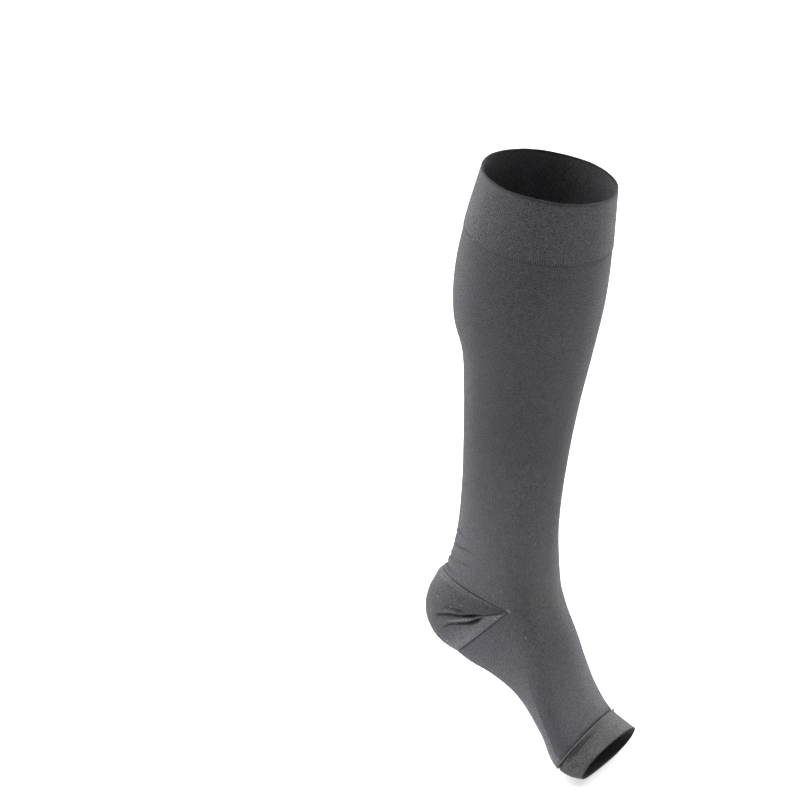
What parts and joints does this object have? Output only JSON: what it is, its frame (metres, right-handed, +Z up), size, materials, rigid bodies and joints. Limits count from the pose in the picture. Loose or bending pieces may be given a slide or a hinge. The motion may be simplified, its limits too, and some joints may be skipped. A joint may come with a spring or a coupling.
{
  "type": "compression stocking",
  "caption": "Below-knee compression stocking with a double-knit top band, turned heel pocket and open toe, in its worn form.",
  "frame": {"origin": "centre of the top opening, in the plane of the top band's edge", "axes": "+Z up out of the top opening, -Y towards the toes, +X towards the outer side of the left leg"},
  "size_m": [0.12, 0.1747, 0.5066],
  "materials": {
    "band_knit": "matte",
    "leg_knit": "matte",
    "heel_knit": "matte",
    "toe_knit": "matte",
    "seam_thread": "matte"
  },
  "bodies": {
    "root": {"top_band": "band_knit", "leg_foot": "leg_knit", "heel_pocket": "heel_knit", "toe_band": "toe_knit", "toe_seam": "seam_thread"}
  },
  "joints": []
}
